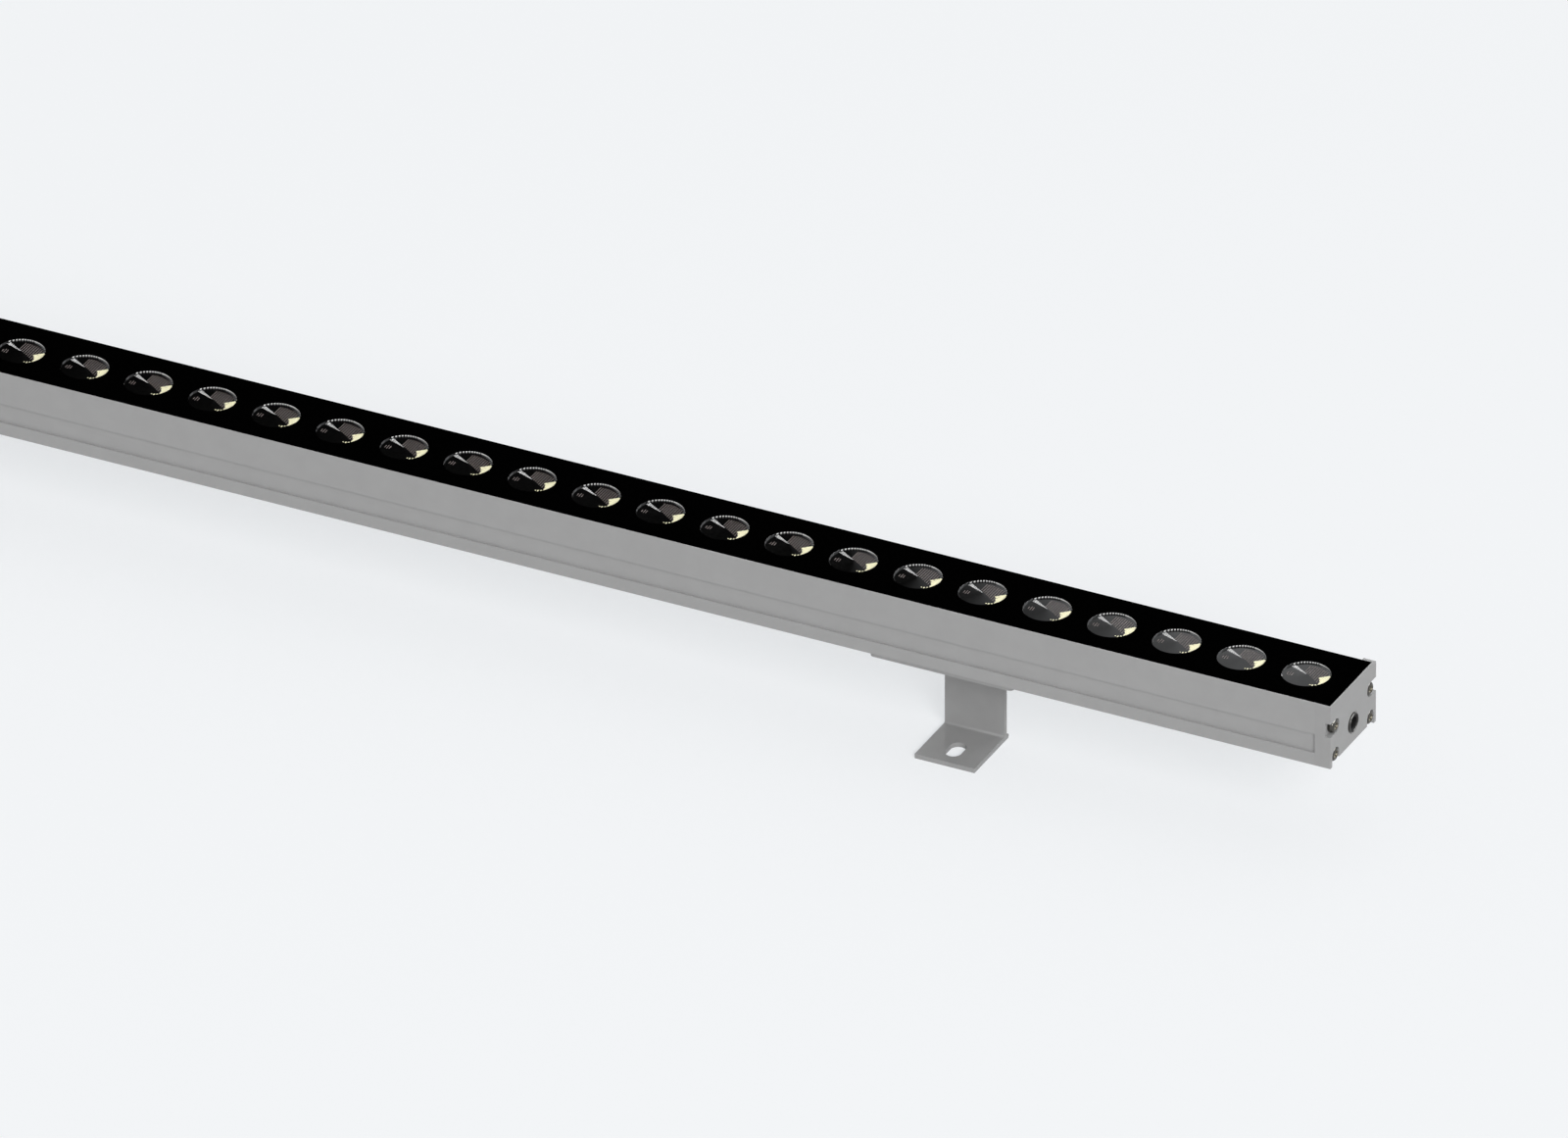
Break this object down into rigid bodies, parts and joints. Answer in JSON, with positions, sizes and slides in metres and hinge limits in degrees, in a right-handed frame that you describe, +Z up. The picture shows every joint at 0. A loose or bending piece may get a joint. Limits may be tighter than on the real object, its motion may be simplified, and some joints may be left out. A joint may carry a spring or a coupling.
{
  "type": "outdoor wall washer light",
  "caption": "Linear outdoor wall washer light: grey extruded housing, a row of fluted lenses in a black cover, screwed end caps and two sliding brackets.",
  "frame": {"origin": "on the mounting surface under the feet, midway between the brackets and midway across the housing", "axes": "+X along the light towards its right end, -Y to its front, +Z up through the lenses"},
  "size_m": [1.001, 0.04, 0.0725],
  "materials": {
    "housing_paint": "extrusion with a satin grey powder coat",
    "bracket_paint": "satin grey paint on steel",
    "cover_black": "deep matt black coat",
    "seal_rubber": "matt",
    "bright_steel": "bright stainless",
    "lens_clear": "clear acrylic over a dark cup",
    "black_plastic": "matt",
    "board_white": "white solder mask",
    "board_green": "green solder mask",
    "lamp_white": "white ceramic",
    "dome_yellow": "yellow phosphor dome"
  },
  "bodies": {
    "light": {"housing": "housing_paint", "end_cap_left": "housing_paint", "end_cap_right": "housing_paint", "end_gasket_left": "seal_rubber", "end_gasket_right": "seal_rubber", "cap_screws": "bright_steel", "front_cover": "cover_black", "cover_seal_front": "seal_rubber", "cover_seal_rear": "seal_rubber", "lenses": "lens_clear", "lens_cups": "black_plastic", "led_board_left": "board_white", "led_board_right": "board_white", "led_packages": "lamp_white", "led_domes": "dome_yellow", "board_screws": "bright_steel", "driver_film": "seal_rubber", "driver_board": "board_green", "driver_chokes": "black_plastic", "driver_capacitors": "dome_yellow", "terminal_blocks": "black_plastic", "feed_leads": "bright_steel", "inlet_ring_left": "bright_steel", "inlet_ring_right": "bright_steel", "inlet_seal_left": "seal_rubber", "inlet_seal_right": "seal_rubber", "inlet_grommet_left": "seal_rubber", "inlet_grommet_right": "seal_rubber"},
    "left_bracket": {"bracket_left": "bracket_paint", "sliding_nuts_left": "bright_steel", "bracket_screws_left": "bright_steel", "bracket_washers_left": "bright_steel"},
    "right_bracket": {"bracket_right": "bracket_paint", "sliding_nuts_right": "bright_steel", "bracket_screws_right": "bright_steel", "bracket_washers_right": "bright_steel"}
  },
  "joints": [
    {"name": "left_bracket_slide", "type": "slide", "parent": "light", "child": "left_bracket", "axis": [1, 0, 0], "range_m": [-0.13, 0.29]},
    {"name": "right_bracket_slide", "type": "slide", "parent": "light", "child": "right_bracket", "axis": [1, 0, 0], "range_m": [-0.29, 0.13]}
  ]
}
